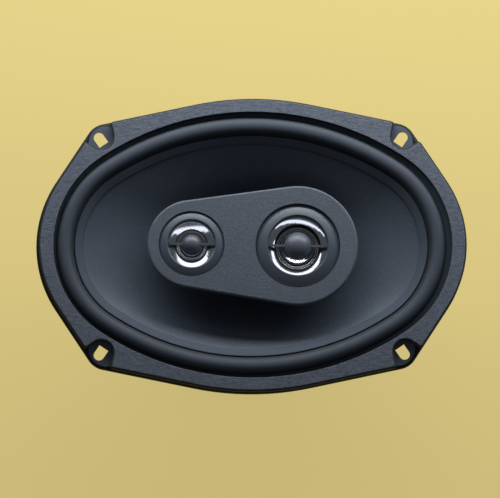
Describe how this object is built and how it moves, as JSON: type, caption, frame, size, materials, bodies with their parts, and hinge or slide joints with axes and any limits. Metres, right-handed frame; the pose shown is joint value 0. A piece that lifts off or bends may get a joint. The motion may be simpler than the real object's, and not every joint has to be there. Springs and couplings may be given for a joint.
{
  "type": "coaxial car speaker",
  "caption": "Oval coaxial car speaker: pressed basket, moulded trim ring, rubber-edged cone and a pod with two small drivers on a central post.",
  "frame": {"origin": "on the speaker's axis, in the plane of the flange's lip that seats on the baffle", "axes": "+Z is the way the speaker fires, X is the long axis of the oval, Y is the short one, and the terminals are on the -Y side"},
  "size_m": [0.2349, 0.1628, 0.0894],
  "materials": {
    "black_painted_steel": "satin black paint",
    "grey_moulding": "fine-grained matte",
    "pod_moulding": "fine-grained matte",
    "cone_polymer": "matte with a fine flake",
    "black_rubber": "satin",
    "boot_rubber": "matte",
    "spider_cloth": "resin-dipped weave",
    "former_aluminium": "plain foil",
    "copper_winding": "enamelled copper wire",
    "plated_steel": "zinc plated",
    "ferrite": "ground ferrite",
    "board": "phenolic board",
    "tinned_brass": "tinned",
    "tinsel": "braided",
    "glue": "black glue",
    "solder": "solder",
    "lead_insulation": "insulated wire",
    "bezel_paint": "satin",
    "bright_metal": "mirror bright",
    "housing_moulding": "black",
    "plug_moulding": "satin black",
    "dome_film": "metallised film",
    "capacitor_sleeve": "shrink sleeve",
    "neodymium": "nickel plated"
  },
  "bodies": {
    "basket_assembly": {"basket": "black_painted_steel", "trim_ring": "grey_moulding", "top_plate": "plated_steel", "basket_rivets": "plated_steel", "ferrite_magnet": "ferrite", "pole_yoke": "plated_steel", "magnet_boot": "boot_rubber", "terminal_board": "board", "terminal_blade_positive": "tinned_brass", "terminal_blade_negative": "tinned_brass", "terminal_rivets": "plated_steel", "lead_solder": "solder", "tweeter_post": "plated_steel", "post_nut": "plated_steel", "pod_leads": "lead_insulation", "pod_plate": "pod_moulding", "pod_shell": "pod_moulding", "pod_screws": "plated_steel", "midrange_capacitor": "capacitor_sleeve", "tweeter_capacitor": "capacitor_sleeve", "midrange_bezel": "bezel_paint", "midrange_reflector": "bright_metal", "midrange_housing": "housing_moulding", "midrange_phase_plug": "plug_moulding", "midrange_cup": "plated_steel", "midrange_magnet": "neodymium", "midrange_pole": "plated_steel", "tweeter_bezel": "bezel_paint", "tweeter_reflector": "bright_metal", "tweeter_housing": "housing_moulding", "tweeter_phase_plug": "plug_moulding", "tweeter_cup": "plated_steel", "tweeter_magnet": "neodymium", "tweeter_pole": "plated_steel"},
    "cone_assembly": {"cone": "cone_polymer", "surround": "black_rubber", "spider": "spider_cloth", "coil_former": "former_aluminium", "voice_coil": "copper_winding", "tinsel_lead_positive": "tinsel", "tinsel_lead_negative": "tinsel", "lead_joints": "glue"},
    "midrange_diaphragm": {"midrange_dome": "dome_film", "midrange_coil": "copper_winding"},
    "tweeter_diaphragm": {"tweeter_dome": "dome_film", "tweeter_coil": "copper_winding"}
  },
  "joints": [
    {"name": "cone_travel", "type": "slide", "parent": "basket_assembly", "child": "cone_assembly", "axis": [0, 0, 1], "range_m": [-0.004, 0.004], "stiffness_N_per_m": 3000, "deforming": ["surround", "spider", "tinsel_lead_positive", "tinsel_lead_negative"]},
    {"name": "midrange_travel", "type": "slide", "parent": "basket_assembly", "child": "midrange_diaphragm", "axis": [0, 0, 1], "range_m": [-0.00025, 0.00025], "stiffness_N_per_m": 2000},
    {"name": "tweeter_travel", "type": "slide", "parent": "basket_assembly", "child": "tweeter_diaphragm", "axis": [0, 0, 1], "range_m": [-0.00025, 0.00025], "stiffness_N_per_m": 2000}
  ]
}
